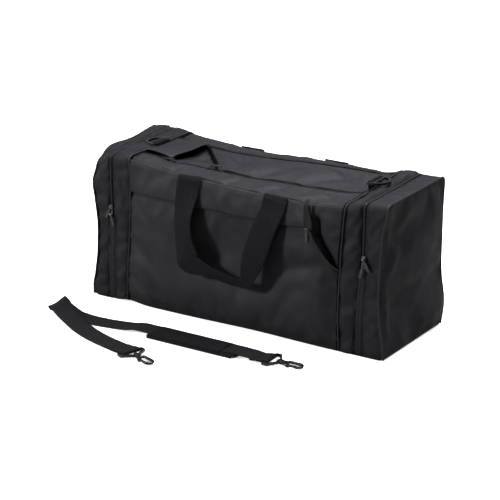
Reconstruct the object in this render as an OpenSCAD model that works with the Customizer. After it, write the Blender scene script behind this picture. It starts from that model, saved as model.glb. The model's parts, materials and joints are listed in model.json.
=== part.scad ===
// Zipped duffel bag with two end pockets, a front pocket, two carry handles
// and a detached shoulder strap that lies folded in front of it.
// X runs along the bag, -Y is its front, +Z is up. The origin is the middle of the base.

/* [Bag] */
// Length over the end panels
bag_l = 750; // [700:5:850]
// Depth from front panel to rear panel
bag_d = 254; // [240:2:300]
// Height from the floor to the top of the end pockets
bag_h = 340; // [320:2:380]
// How far the top of the body hangs below the end pockets
top_sag = 8; // [0:1:12]
// Thickness of each cloth wall
cloth = 2.5; // [1.5:0.5:3]
// Length of each end pocket
end_l = 100; // [90:1:120]
// Distance from each end to its zip
zip_in = 52; // [45:1:60]

/* [Top] */
// Width of the lid between its two long seams
lid_w = 126; // [110:2:140]
// How far the lid lies behind the middle of the bag
lid_back = 13; // [0:1:20]
// How far its long seams drift back for each millimetre towards the right
lid_slope = 0.08; // [0:0.01:0.09]
// Length of the fixed top panel at the left of the lid
bridge_l = 85; // [70:1:110]

/* [Front pocket] */
// Height of the pocket's zip above the floor
pocket_top = 265; // [240:1:280]
// Depth of the space inside the pocket
pocket_gap = 6; // [5:0.5:10]

/* [Handles] */
// Width of the webbing
web_w = 50; // [40:1:50]
// Width of the handles' webbing
handle_w = 60; // [50:1:64]
// Distance between the middles of a handle's tabs
handle_span = 220; // [200:5:240]

/* [Shoulder strap] */
// Length of the shoulder pad
pad_l = 236; // [220:2:250]
// Width of the shoulder pad
pad_w = 68; // [64:1:75]

/* [Hidden] */
$fn = 48;

half_l = bag_l / 2;
half_d = bag_d / 2;
// Seam between the body and each end pocket, and the zip in the pocket's gusset
seam_x = half_l - end_l;
zip_x = half_l - zip_in;
// Gap left between pieces that move past each other
gap = 0.5;
// Half of the zip chain's width
chain = 1.5;
body_h = bag_h - top_sag;
lid_half = lid_w / 2;
lid_x = -seam_x + bridge_l;
// Width of the fixed zip tape at the lid's right end
zip_end = 6;
pocket_y = half_d + pocket_gap;
pocket_x = seam_x - 6;
web_t = 2;

// D-ring: the bar turns in a webbing tab over the body seam
ring_z = bag_h + 7.5;
ring_r = 3;
ring_half = 27;
ring_straight = 6;
tab_r = 4.4;
bar_r = 2.5;
bar_fit = 0.06;

// Sliders: where each stands on its zip
slider_z = bag_h * 0.62;
slider_pitch = 15;
main_slider_x = [-192, -98];
pocket_slider_x = 192;
puller_splay = [28, -15];

// Handle: the webbing leaves the tab, stands off the front and narrows where it is folded at the grip
handle_y = half_d + 4;
handle_z = body_h - 20;
// Its stations as [outer edge x, drop, inner edge x, drop, distance out from the tab, twist],
// drawn for tabs this far apart and webbing this wide
drawn_span = 220;
drawn_w = 60;
handle_path = [
    [-140, 0, -80, 0, 0, 0], [-141, 20, -82, 20, 5, 1], [-141, 45, -85, 45, 13, 5],
    [-139, 75, -86, 75, 22, 9], [-134, 105, -82, 105, 29, 9], [-128, 132, -73, 132, 34, 7],
    [-122, 152, -63, 149, 37, 3], [-119, 163, -58, 161, 38, 0], [-104, 174, -54, 164, 38, 0],
    [-80, 180, -44, 166, 38, 0], [-52, 185, -30, 169, 38, 0], [-22, 190, -16, 171, 38, 0],
    [6, 196, 6, 176, 38, 0], [30, 198, 26, 180, 38, 0], [52, 196, 38, 182, 38, 0],
    [70, 190, 44, 181, 38, 0], [78, 181, 45, 178, 38, 0], [88, 162, 45, 162, 37, 0],
    [98, 144, 46, 146, 36, 0], [105, 128, 48, 129, 34, 0], [113, 102, 55, 102, 29, 0],
    [120, 72, 62, 72, 22, 0], [129, 42, 72, 42, 13, 0], [136, 20, 78, 20, 5, 0], [140, 0, 80, 0, 0, 0]
];

// Hooks: place of the strap bar and heading of each hook
hook_z = 4.5;
left_hook = [-98, -374, -20];
right_hook = [172, -250, 0];
// Hook: radius of its rod, half its width, both ends of its straight side and the gate's pin
hook_r = 3.4;
hook_side = 9;
hook_base = 46;
hook_tip = 68;
gate_pivot = 49;

// Strap route as [x, y, z, angle of the cross direction, tilt], from the left hook's bar to the right one's
strap = [
    [-101.3, -372.8, 4.5, 70, 0], [-112, -369, 3.4, 70, 0], [-130, -363, 1.5, 71, 0],
    [-165, -354, 1.5, 73, 0], [-213, -340, 1.6, 71, 0], [-262, -320, 2.4, 66, 0],
    [-305, -297, 4.8, 62, 1], [-340, -277, 8, 61, 4], [-366, -260.5, 11.5, 66, 10],
    [-386, -248.5, 14.8, 74, 17], [-393.5, -244.5, 14.8, 77, 20], [-397, -243, 12.2, 78, 21],
    [-394, -243, 9.4, 78, 19], [-383, -245, 7.4, 77, 13], [-362, -251, 4.2, 77, 6],
    [-325, -261, 1.6, 79, 0], [-285, -265, 1.5, 84, 0], [-250, -263, 1.5, 92, 0],
    [-215, -258, 1.8, 97, 0], [-185, -254.5, 3.5, 95, 0], [-168, -252.5, 6.5, 92, 0],
    [-155, -252, 7.8, 90, 0], [128, -252, 7.8, 90, 0], [140, -252, 6.4, 90, 0],
    [153, -251, 4.9, 88, 0], [168.6, -250, 4.5, 90, 0]
];
pad_mid = [-11, -252];
pad_t = 10.5;
sleeve_z = 7.8;

CLOTH = "#26262b";
WEBBING = "#1c1c20";
PLASTIC = "#101012";
METAL = "#3a3a3e";
BOARD = "#2f2f2f";

// Unit vector across the webbing at a strap station
function cross_dir(s) = [cos(s[3]) * cos(s[4]), sin(s[3]) * cos(s[4]), sin(s[4])];
function unit(v) = v / norm(v);
function place(s) = [s[0], s[1], s[2]];

// Flat webbing swept through stations: the middles p and the cross directions a
module ribbon(p, a, w, t) {
    n = len(p);
    tangent = [for (i = [0:n - 1]) unit(p[min(i + 1, n - 1)] - p[max(i - 1, 0)])];
    up = [for (i = [0:n - 1]) unit(cross(tangent[i], a[i]))];
    corners = [
        for (i = [0:n - 1]) for (c = [[-1, -1], [1, -1], [1, 1], [-1, 1]])
            p[i] + a[i] * c[0] * w / 2 + up[i] * c[1] * t / 2
    ];
    sides = [
        for (i = [0:n - 2]) for (c = [0:3])
            for (half = [0, 1])
                let (q = 4 * i + c, r = 4 * i + (c + 1) % 4)
                    half == 0 ? [q, r + 4, r] : [q, q + 4, r + 4]
    ];
    ends = [[0, 1, 2], [0, 2, 3], [4 * n - 2, 4 * n - 3, 4 * n - 4], [4 * n - 1, 4 * n - 2, 4 * n - 4]];
    polyhedron(points = corners, faces = concat(sides, ends));
}

// Rectangle with round corners, made of exact arcs
module rounded_rect(l, w, r) {
    square([l - 2 * r, w], center = true);
    square([l, w - 2 * r], center = true);
    for (x = [-1, 1], y = [-1, 1])
        translate([x * (l / 2 - r), y * (w / 2 - r)]) circle(r);
}

// Flat wall between two corners
module wall(low, high) {
    translate(low) cube(high - low);
}

// Point of the top at a distance behind the lid's slanting middle line
function lid_line(x, back) = [x, lid_back + lid_slope * x + back];
// Slanting band of the top between two stations along the bag and two such distances
function lid_band(x0, x1, near, far) =
    [lid_line(x0, near), lid_line(x1, near), lid_line(x1, far), lid_line(x0, far)];

// Flat cloth of the top with a straight-sided outline
module top_cloth(outline) {
    translate([0, 0, body_h - cloth]) linear_extrude(cloth) polygon(outline);
}

// Arch of cloth round the front, top and rear between two stations along the bag
module arch(x0, x1, outside = 0, thick = cloth, foot = cloth) {
    out_y = half_d + outside;
    out_z = bag_h + outside;
    difference() {
        wall([x0, -out_y, foot], [x1, out_y, out_z]);
        wall([x0 - 1, thick - out_y, foot - 1], [x1 + 1, out_y - thick, out_z - thick]);
    }
}

// Mirrors its children to the left for side -1
module on_side(side) {
    mirror([side < 0 ? 1 : 0, 0, 0]) children();
}

module base_panel() {
    color(CLOTH) wall([-half_l, -half_d, 0], [half_l, half_d, cloth]);
}

module base_board() {
    color(BOARD) wall([-seam_x + 6, -half_d + 6, cloth], [seam_x - 6, half_d - 6, cloth + 3]);
}

module front_panel() {
    color(CLOTH) wall([-seam_x, -half_d, cloth], [seam_x, cloth - half_d, body_h - cloth]);
}

module rear_panel() {
    color(CLOTH) wall([-seam_x, half_d - cloth, cloth], [seam_x, half_d, body_h - cloth]);
}

// Inner wall that closes the body and the end pocket beside it
module divider(side) {
    on_side(side) color(CLOTH)
        wall([seam_x - cloth, cloth - half_d, cloth], [seam_x, half_d - cloth, body_h - cloth]);
}

module left_divider() { divider(-1); }
module right_divider() { divider(1); }

module top_front_strip() {
    color(CLOTH) top_cloth([
        [-seam_x, -half_d], [seam_x, -half_d],
        lid_line(seam_x, -lid_half - chain), lid_line(-seam_x, -lid_half - chain)
    ]);
}

module top_rear_strip() {
    color(CLOTH) top_cloth([
        lid_line(-seam_x, lid_half + gap), lid_line(seam_x, lid_half + gap),
        [seam_x, half_d], [-seam_x, half_d]
    ]);
}

module left_top_panel() {
    color(CLOTH) top_cloth(lid_band(-seam_x, lid_x - chain, -lid_half - chain, lid_half + gap));
}

module lid_panel() {
    color(CLOTH)
        top_cloth(lid_band(lid_x + gap, seam_x - zip_end - gap, gap - lid_half, lid_half - gap));
}

// Zip along the lid's front edge and both its ends, on the fixed side
module main_zip() {
    color(PLASTIC) {
        top_cloth(lid_band(lid_x - chain, seam_x, -lid_half - chain, -lid_half));
        top_cloth(lid_band(lid_x - chain, lid_x, -lid_half, lid_half + gap));
        top_cloth(lid_band(seam_x - zip_end, seam_x, -lid_half, lid_half + gap));
    }
}

module inner_gusset(side) {
    on_side(side) color(CLOTH) arch(seam_x, zip_x - chain);
}

module left_inner_gusset() { inner_gusset(-1); }
module right_inner_gusset() { inner_gusset(1); }

module end_zip(side) {
    on_side(side) color(PLASTIC) arch(zip_x - chain, zip_x + chain);
}

module left_end_zip() { end_zip(-1); }
module right_end_zip() { end_zip(1); }

// The outer gusset and the end panel swing outwards together about their lower edge
module outer_gusset(side) {
    on_side(side) color(CLOTH) arch(zip_x + chain + gap, half_l - cloth, foot = cloth + gap);
}

module left_outer_gusset() { outer_gusset(-1); }
module right_outer_gusset() { outer_gusset(1); }

module end_panel(side) {
    on_side(side) color(CLOTH) wall([half_l - cloth, -half_d, cloth + gap], [half_l, half_d, bag_h]);
}

module left_end_panel() { end_panel(-1); }
module right_end_panel() { end_panel(1); }

// Piping stands proud of the cloth; it stops either side of the D-ring's tab
module body_piping(side) {
    on_side(side) color(WEBBING) difference() {
        arch(seam_x, seam_x + 4, outside = 3, thick = 3, foot = 4);
        wall([seam_x - 1, -web_w / 2, bag_h - 1], [seam_x + 5, web_w / 2, bag_h + 5]);
    }
}

module left_body_piping() { body_piping(-1); }
module right_body_piping() { body_piping(1); }

module end_piping(side) {
    on_side(side) color(WEBBING) arch(half_l - 2, half_l + 2, outside = 3, thick = 3, foot = 5);
}

module left_end_piping() { end_piping(-1); }
module right_end_piping() { end_piping(1); }

// Pocket panel with the sewn rim that holds it off the front panel
module front_pocket_panel() {
    rim = 6;
    low = 10;
    color(CLOTH) difference() {
        wall([-pocket_x, -pocket_y - cloth, low], [pocket_x, -half_d, pocket_top - 2 * chain]);
        wall([rim - pocket_x, -pocket_y, low + rim], [pocket_x - rim, -half_d + 1, pocket_top]);
    }
}

module front_pocket_zip() {
    color(PLASTIC)
        wall([-pocket_x, -pocket_y - cloth, pocket_top - 2 * chain], [pocket_x, -pocket_y, pocket_top]);
}

// Loop of webbing: down one leg, along the grip and up the other leg
module handle(side) {
    outer = [for (s = handle_path) [s[0], s[5] - handle_y - s[4], handle_z - s[1]]];
    inner = [for (s = handle_path) [s[2], -s[5] - handle_y - s[4], handle_z - s[3]]];
    stretch = handle_span / drawn_span;
    middle = [for (m = (outer + inner) / 2) [m[0] * stretch, m[1], m[2]]];
    mirror([0, side > 0 ? 1 : 0, 0]) color(WEBBING)
        ribbon(middle, (inner - outer) / drawn_w, handle_w, web_t);
}

module front_handle() { handle(-1); }
module rear_handle() { handle(1); }

// Ends of the handle sewn to the bag just under the top edge
module handle_tabs(side) {
    mirror([0, side > 0 ? 1 : 0, 0]) color(WEBBING)
        for (x = [-1, 1])
            translate([x * handle_span / 2 - handle_w / 2, -half_d - web_t, handle_z + 2])
                cube([handle_w, web_t, body_h - handle_z - 4]);
}

module front_handle_tabs() { handle_tabs(-1); }
module rear_handle_tabs() { handle_tabs(1); }

// Webbing sewn into the body seam and looped round the D-ring's bar
module ring_tab(side) {
    on_side(side) color(WEBBING) difference() {
        union() {
            wall([seam_x - 3.5, -web_w / 2 + 1, body_h], [seam_x, web_w / 2 - 1, ring_z]);
            translate([seam_x, 0, ring_z]) rotate([90, 0, 0])
                cylinder(r = tab_r, h = web_w - 2, center = true);
        }
        translate([seam_x, 0, ring_z]) rotate([90, 0, 0])
            cylinder(r = bar_r + bar_fit, h = web_w, center = true);
    }
}

module left_ring_tab() { ring_tab(-1); }
module right_ring_tab() { ring_tab(1); }

// Flat D-ring with a round bar and a webbing slot between the bar and a crossbar
module d_ring(side) {
    outer_r = ring_half + ring_r;
    inner_r = ring_half - ring_r;
    slot_x = 8.5;
    crossbar_x = 13.5;
    on_side(side) translate([seam_x, 0, ring_z]) color(PLASTIC) {
        rotate([90, 0, 0]) cylinder(r = bar_r, h = 2 * ring_half, center = true);
        translate([0, 0, -bar_r]) linear_extrude(2 * bar_r) difference() {
            union() {
                translate([-bar_r, -outer_r]) square([bar_r + ring_straight, 2 * outer_r]);
                intersection() {
                    translate([ring_straight, 0]) circle(outer_r);
                    translate([0, -outer_r]) square(2 * outer_r);
                }
            }
            translate([-2 * bar_r, -inner_r]) square([2 * bar_r + slot_x, 2 * inner_r]);
            intersection() {
                translate([ring_straight, 0]) circle(inner_r);
                translate([crossbar_x, -outer_r]) square(2 * outer_r);
            }
        }
    }
}

module left_d_ring() { d_ring(-1); }
module right_d_ring() { d_ring(1); }

// Zip slider lying on +Z with its puller towards +X; turn sets the body along or across the puller
module zip_slider(turn) {
    pin_z = 5;
    color(METAL) {
        rotate([0, 0, turn]) translate([0, 0, 0.3]) linear_extrude(2.7) rounded_rect(13, 9, 2.5);
        for (y = [-1, 1])
            translate([0, y * 2.9, 0]) {
                translate([-1.5, -0.6, 2.5]) cube([3, 1.2, pin_z - 2.5]);
                translate([0, 0, pin_z]) rotate([90, 0, 0]) cylinder(r = 1.5, h = 1.2, center = true);
            }
        translate([0, 0, pin_z]) rotate([90, 0, 0]) cylinder(r = 0.8, h = 6, center = true);
    }
}

module zip_puller() {
    color(PLASTIC) translate([0, 0, 5]) difference() {
        union() {
            rotate([90, 0, 0]) cylinder(r = 1.6, h = 3.8, center = true);
            translate([0, -1.6, -0.9]) cube([10, 3.2, 1.8]);
            translate([18, 0, -1]) linear_extrude(2) rounded_rect(20, 6, 2);
        }
        rotate([90, 0, 0]) cylinder(r = 0.86, h = 8, center = true);
    }
}

// Main zip: pullers lie along the strip, away from the open stretch
module on_main_zip(i) {
    turn = atan(lid_slope) + (i == 0 ? 180 : 0);
    translate(lid_line(main_slider_x[i], -lid_half - 6)) translate([0, 0, body_h])
        rotate([0, 0, turn]) children();
}

module main_left_slider() { on_main_zip(0) zip_slider(0); }
module main_left_puller() { on_main_zip(0) zip_puller(); }
module main_right_slider() { on_main_zip(1) zip_slider(0); }
module main_right_puller() { on_main_zip(1) zip_puller(); }

// Front faces: +Z of the slider points out of the front and its puller hangs down
module on_front(x, y, z, splay) {
    translate([x, y, z]) rotate([90, 0, 0]) rotate([0, 0, -90 + splay]) children();
}

module pocket_slider() {
    on_front(pocket_slider_x, -pocket_y - cloth, pocket_top - chain, 0) zip_slider(90);
}

module pocket_puller() {
    on_front(pocket_slider_x, -pocket_y - cloth, pocket_top - chain, 0) zip_puller();
}

// Two sliders meet on each end pocket's zip: i is 0 for the upper one and 1 for the lower
module on_end_zip(side, i) {
    on_side(side)
        on_front(zip_x, -half_d, slider_z + (i == 0 ? 0.5 : -0.5) * slider_pitch, puller_splay[i]) children();
}

module left_upper_slider() { on_end_zip(-1, 0) zip_slider(-puller_splay[0]); }
module left_upper_puller() { on_end_zip(-1, 0) zip_puller(); }
module left_lower_slider() { on_end_zip(-1, 1) zip_slider(-puller_splay[1]); }
module left_lower_puller() { on_end_zip(-1, 1) zip_puller(); }
module right_upper_slider() { on_end_zip(1, 0) zip_slider(-puller_splay[0]); }
module right_upper_puller() { on_end_zip(1, 0) zip_puller(); }
module right_lower_slider() { on_end_zip(1, 1) zip_slider(-puller_splay[1]); }
module right_lower_puller() { on_end_zip(1, 1) zip_puller(); }

// Shoulder strap: one length of webbing with a sewn loop round each hook frame's bar
module shoulder_strap() {
    color(WEBBING) {
        ribbon([for (s = strap) place(s)], [for (s = strap) cross_dir(s)], web_w - 2, web_t);
        for (h = [left_hook, right_hook])
            on_hook(h) difference() {
                rotate([90, 0, 0]) cylinder(r = tab_r, h = web_w - 2, center = true);
                rotate([90, 0, 0]) cylinder(r = bar_r + bar_fit, h = web_w, center = true);
            }
    }
}

// Pad with a sleeve that the webbing runs through
module shoulder_pad() {
    slot = web_t + 1;
    color(CLOTH) difference() {
        translate([pad_mid[0], pad_mid[1], 0.3]) linear_extrude(pad_t) rounded_rect(pad_l, pad_w, 14);
        translate([pad_mid[0] - pad_l, pad_mid[1] - web_w / 2, sleeve_z - slot / 2])
            cube([2 * pad_l, web_w, slot]);
    }
}

// Hook pieces are drawn with the strap bar on Y at the origin and the tip towards +X
module on_hook(h) {
    translate([h[0], h[1], hook_z]) rotate([0, 0, h[2]]) children();
}

// Flat frame with a round strap bar and a nose bored for the swivel
module hook_frame(h) {
    bar_half = 28;
    nose = [21, 33];
    frame_t = 5.6;
    on_hook(h) color(PLASTIC) {
        rotate([90, 0, 0]) cylinder(r = bar_r, h = 2 * bar_half, center = true);
        translate([0, 0, -frame_t / 2]) linear_extrude(frame_t) difference() {
            polygon([[-3, -31], [11, -31], [25, -8], [25, 8], [11, 31], [-3, 31]]);
            polygon([[-4, -25], [9, -25], [nose[0], -6], [nose[0], 6], [9, 25], [-4, 25]]);
            translate([nose[0] - 1, -4]) square([8, 8]);
        }
        translate([nose[0], 0, 0]) rotate([0, 90, 0]) difference() {
            cylinder(r = 5.5, h = nose[1] - nose[0]);
            translate([0, 0, -1]) cylinder(r = 2.55, h = 20);
        }
    }
}

module left_hook_frame() { hook_frame(left_hook); }
module right_hook_frame() { hook_frame(right_hook); }

// Swivel pin, shoulder and an oval hook whose mouth the gate closes
module snap_hook(h) {
    on_hook(h) color(PLASTIC) {
        translate([17.5, 0, 0]) rotate([0, 90, 0]) cylinder(r = 4, h = 3);
        translate([17.5, 0, 0]) rotate([0, 90, 0]) cylinder(r = 2.5, h = 18);
        translate([33.5, 0, 0]) rotate([0, 90, 0]) cylinder(r = 5, h = 4);
        translate([hook_base, 0, 0]) rotate([0, 0, 90])
            rotate_extrude(angle = 180) translate([hook_side, 0]) circle(hook_r);
        translate([hook_base, hook_side, 0]) rotate([0, 90, 0])
            cylinder(r = hook_r, h = hook_tip - hook_base);
        translate([hook_tip, 0, 0]) rotate([0, 0, -90])
            rotate_extrude(angle = 180) translate([hook_side, 0]) circle(hook_r);
        translate([hook_tip - 5, -hook_side, 0]) rotate([0, 90, 0]) cylinder(r = hook_r, h = 5);
        for (z = [-1, 1])
            translate([hook_base - 1, -hook_side - 3, z * 3.1 - 0.6])
                cube([gate_pivot + 3 - hook_base, 6, 1.2]);
        translate([gate_pivot, -hook_side, 0]) cylinder(r = 1.2, h = 7, center = true);
    }
}

module left_snap_hook() { snap_hook(left_hook); }
module right_snap_hook() { snap_hook(right_hook); }

module hook_gate(h) {
    on_hook(h) color(PLASTIC) translate([gate_pivot, -hook_side, 0]) difference() {
        union() {
            cylinder(r = 2.4, h = 4.4, center = true);
            translate([0, -1.8, -2.2]) cube([hook_tip - 5.5 - gate_pivot, 3.6, 4.4]);
        }
        cylinder(r = 1.26, h = 8, center = true);
    }
}

module left_hook_gate() { hook_gate(left_hook); }
module right_hook_gate() { hook_gate(right_hook); }

base_panel();
base_board();
front_panel();
rear_panel();
left_divider();
right_divider();
top_front_strip();
top_rear_strip();
left_top_panel();
lid_panel();
main_zip();
left_inner_gusset();
right_inner_gusset();
left_end_zip();
right_end_zip();
left_outer_gusset();
right_outer_gusset();
left_end_panel();
right_end_panel();
left_body_piping();
right_body_piping();
left_end_piping();
right_end_piping();
front_pocket_panel();
front_pocket_zip();
front_handle();
rear_handle();
front_handle_tabs();
rear_handle_tabs();
left_ring_tab();
right_ring_tab();
left_d_ring();
right_d_ring();
main_left_slider();
main_left_puller();
main_right_slider();
main_right_puller();
pocket_slider();
pocket_puller();
left_upper_slider();
left_upper_puller();
left_lower_slider();
left_lower_puller();
right_upper_slider();
right_upper_puller();
right_lower_slider();
right_lower_puller();
shoulder_strap();
shoulder_pad();
left_hook_frame();
left_snap_hook();
left_hook_gate();
right_hook_frame();
right_snap_hook();
right_hook_gate();
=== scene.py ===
"""Black zipped duffel bag with a folded shoulder strap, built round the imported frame, in metres.

Every cloth panel is first laid out on a plain box with round corners, in "nominal" places, and
sag() then carries it to where the soft bag really is. Panels are settled by a short cloth
simulation, so their seams stay where they are and the cloth between them buckles a little.
"""
import json
import math

import bpy
import numpy as np
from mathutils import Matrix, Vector


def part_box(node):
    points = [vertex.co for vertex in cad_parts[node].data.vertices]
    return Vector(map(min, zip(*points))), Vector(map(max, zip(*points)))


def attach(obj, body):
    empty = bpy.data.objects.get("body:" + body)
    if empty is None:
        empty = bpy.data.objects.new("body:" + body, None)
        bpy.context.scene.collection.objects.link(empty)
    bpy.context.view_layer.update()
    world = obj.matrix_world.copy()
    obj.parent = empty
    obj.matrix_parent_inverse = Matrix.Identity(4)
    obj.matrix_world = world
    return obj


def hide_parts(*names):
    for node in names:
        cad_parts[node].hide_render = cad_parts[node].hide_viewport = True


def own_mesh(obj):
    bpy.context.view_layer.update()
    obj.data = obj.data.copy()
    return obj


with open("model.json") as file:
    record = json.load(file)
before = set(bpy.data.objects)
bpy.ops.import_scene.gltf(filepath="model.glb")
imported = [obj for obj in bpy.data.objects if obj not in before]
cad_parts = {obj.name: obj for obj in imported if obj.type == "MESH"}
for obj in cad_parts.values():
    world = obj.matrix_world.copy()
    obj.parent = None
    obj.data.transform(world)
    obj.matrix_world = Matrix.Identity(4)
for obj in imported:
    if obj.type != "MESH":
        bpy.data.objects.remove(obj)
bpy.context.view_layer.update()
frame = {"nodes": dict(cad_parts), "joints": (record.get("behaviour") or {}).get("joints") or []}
scene = bpy.context.scene
node_objects = frame["nodes"]
joints = {joint["name"]: joint for joint in frame["joints"]}

# ---------------------------------------------------------------- sizes taken from the frame
SEAM_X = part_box("front_panel")[1].x
END_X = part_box("right_end_panel")[1].x
ZIP_X = (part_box("right_end_zip")[0].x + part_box("right_end_zip")[1].x) / 2
HALF_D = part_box("right_end_panel")[1].y
TOP_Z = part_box("right_end_panel")[1].z
LID_SLOPE = joints["lid_hinge"]["axis"][1] / joints["lid_hinge"]["axis"][0]
LID_REAR = joints["lid_hinge"]["pos_m"][1]
LID_HALF = (
    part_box("lid_panel")[1].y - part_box("lid_panel")[0].y
    - LID_SLOPE * (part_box("lid_panel")[1].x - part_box("lid_panel")[0].x)
) / 2
LID_MID = LID_REAR - LID_HALF
LID_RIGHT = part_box("lid_panel")[1].x
POCKET_OUT = -HALF_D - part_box("front_pocket_zip")[0].y
POCKET_Z = (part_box("front_pocket_zip")[0].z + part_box("front_pocket_zip")[1].z) / 2
POCKET_X = (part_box("pocket_slider")[0].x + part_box("pocket_slider")[1].x) / 2

CORNER_R = 0.013
S_CORNER = TOP_Z - CORNER_R
S_FOLD = S_CORNER + CORNER_R * math.pi / 4
S_TOP = S_CORNER + CORNER_R * math.pi / 2
S_BACK = S_TOP + 2 * (HALF_D - CORNER_R)
S_DOWN = S_BACK + CORNER_R * math.pi / 2
S_END = S_DOWN + S_CORNER
S_REAR_FOLD = S_END - S_FOLD
CLOTH_STEP = 0.009
CLOTH_T = 0.0016
PAD_CLOTH_T = 0.0012
PAD_CORNER = 0.016
TAPE_T = 0.0008
OPEN_TAPE_T = 0.0012

SIDES = ((-1, "left"), (1, "right"))
OUT_FRONT, OUT_REAR, OUT_UP = (0, -1, 0), (0, 1, 0), (0, 0, 1)
ALONG_X, ALONG_Y, ALONG_Z = (1, 0, 0), (0, 1, 0), (0, 0, 1)

# ---------------------------------------------------------------- how the soft bag sags
# Height of the top along its front and rear edges, as (x, height)
FRONT_EDGE = [
    (-0.375, 0.338), (-0.350, 0.346), (-0.270, 0.343), (-0.193, 0.335), (-0.119, 0.329), (-0.036, 0.324),
    (0.040, 0.320), (0.100, 0.320), (0.164, 0.318), (0.212, 0.319), (0.272, 0.325), (0.321, 0.337),
    (0.375, 0.340),
]
REAR_EDGE = [
    (-0.375, 0.346), (-0.350, 0.353), (-0.320, 0.350), (-0.265, 0.341), (-0.207, 0.337), (-0.163, 0.333),
    (-0.125, 0.330), (-0.064, 0.329), (0.000, 0.330), (0.072, 0.333), (0.148, 0.333), (0.211, 0.332),
    (0.236, 0.330), (0.267, 0.336), (0.315, 0.343), (0.345, 0.338), (0.375, 0.340),
]
# How far each upright line leaves its nominal place along the bag, as (height, shift)
LEFT_END = [(0.0, -0.003), (0.021, -0.003), (0.056, 0.004), (0.113, 0.012), (0.168, 0.014),
            (0.236, 0.007), (0.274, 0.001), (0.340, 0.000)]
RIGHT_END = [(0.0, -0.001), (0.033, -0.006), (0.090, -0.014), (0.145, -0.018), (0.257, -0.013),
             (0.338, 0.000), (0.350, 0.000)]
LEFT_ZIP = [(0.0, -0.004), (0.100, -0.003), (0.210, -0.001), (0.340, -0.004)]
RIGHT_ZIP = [(0.0, -0.011), (0.100, -0.009), (0.210, -0.004), (0.340, -0.003)]
LEFT_SEAM = [(0.0, -0.006), (0.100, -0.001), (0.200, 0.005), (0.300, 0.008), (0.340, 0.004)]
RIGHT_SEAM = [(0.0, -0.009), (0.100, -0.012), (0.200, -0.009), (0.300, -0.002), (0.340, 0.003)]

# Soft dents and bulges, as (middle, size, push)
DENTS = [
    ((-0.375, -0.127, 0.340), (0.040, 0.045, 0.045), (0.006, 0.012, -0.020)),
    ((-0.375, 0.030, 0.340), (0.050, 0.060, 0.050), (0, 0, -0.008)),
    ((0, -0.127, 0.070), (0.300, 0.050, 0.060), (0, -0.006, 0)),
    ((0.020, -0.127, 0.200), (0.090, 0.050, 0.070), (0, 0.004, 0)),
    ((0.375, 0.127, 0.055), (0.050, 0.070, 0.050), (0.008, 0.003, 0)),
    ((0.375, 0, 0.160), (0.040, 0.090, 0.120), (0.007, 0, 0)),
    ((-0.375, 0, 0.160), (0.040, 0.090, 0.120), (-0.006, 0, 0)),
    ((0, 0.127, 0.150), (0.300, 0.050, 0.100), (0, 0.006, 0)),
    ((-0.275, -0.127, 0), (0.030, 0.040, 0.030), (0, 0, 0.006)),
    ((0.050, -0.127, 0), (0.120, 0.030, 0.030), (0, 0, 0.003)),
    ((-0.192, -0.071, 0.340), (0.026, 0.020, 0.040), (0, 0, -0.0045)),
]
# Creases in the front face, as (x and height of the start, of the end, width, depth)
FRONT_Y = -0.127
FRONT_FOLDS = [
    (-0.262, 0.258, -0.205, 0.190, 0.011, 0.0055), (-0.215, 0.205, -0.185, 0.165, 0.010, 0.0050),
    (-0.262, 0.150, -0.190, 0.100, 0.011, 0.0055), (-0.240, 0.240, -0.180, 0.150, 0.016, -0.0030),
    (0.125, 0.165, 0.240, 0.205, 0.014, 0.0050), (0.150, 0.120, 0.205, 0.140, 0.011, 0.0040),
    (0.215, 0.080, 0.245, 0.020, 0.010, 0.0045), (0.285, 0.250, 0.310, 0.300, 0.007, 0.0035),
    (0.285, 0.210, 0.312, 0.245, 0.006, 0.0030), (0.345, 0.265, 0.365, 0.305, 0.007, 0.0035),
    (-0.300, 0.300, -0.284, 0.215, 0.007, 0.0040), (-0.365, 0.300, -0.345, 0.260, 0.008, 0.0035),
]
# All creases, those of the top and the right face after the front's, as (start, end, width, push)
FOLDS = [((x, FRONT_Y, z), (end_x, FRONT_Y, end_z), width, (0, depth, 0))
         for x, z, end_x, end_z, width, depth in FRONT_FOLDS] + [
    ((-0.035, -0.127, 0.330), (0.005, -0.085, 0.340), 0.012, (0, 0.0040, -0.0045)),
    ((0.060, -0.127, 0.335), (0.100, -0.080, 0.340), 0.012, (0, 0.0040, -0.0045)),
    ((0.165, -0.127, 0.330), (0.210, -0.085, 0.340), 0.013, (0, 0.0040, -0.0045)),
    ((-0.170, -0.127, 0.335), (-0.145, -0.090, 0.340), 0.010, (0, 0.0030, -0.0040)),
    ((0, -0.050, 0.340), (0.060, 0.030, 0.340), 0.020, (0, 0, -0.0040)),
    ((0.120, -0.040, 0.340), (0.175, 0.040, 0.340), 0.018, (0, 0, -0.0040)),
    ((0.375, -0.110, 0.260), (0.375, -0.070, 0.225), 0.012, (0.0045, 0, 0)),
    ((0.375, -0.070, 0.225), (0.375, -0.105, 0.175), 0.012, (0.0045, 0, 0)),
    ((0.375, -0.112, 0.150), (0.375, -0.100, 0.040), 0.012, (0.0050, 0, 0)),
]


def curve_through(x, knots):
    """Value at x of a smooth curve through (place, value) knots, flat beyond its ends."""
    place, value = np.array(knots, float).T
    rate = np.diff(value) / np.diff(place)
    before, after = rate[:-1], rate[1:]
    gentle = np.where(before * after > 0, 2 * before * after / (before + after + 1e-12), 0)
    slope = np.concatenate([rate[:1], gentle, rate[-1:]])
    x = np.clip(x, place[0], place[-1])
    i = np.clip(np.searchsorted(place, x) - 1, 0, len(place) - 2)
    step = place[i + 1] - place[i]
    f = (x - place[i]) / step
    return (
        (1 + 2 * f) * (1 - f) ** 2 * value[i] + f * (1 - f) ** 2 * step * slope[i]
        + f * f * (3 - 2 * f) * value[i + 1] + f * f * (f - 1) * step * slope[i + 1]
    )


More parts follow.
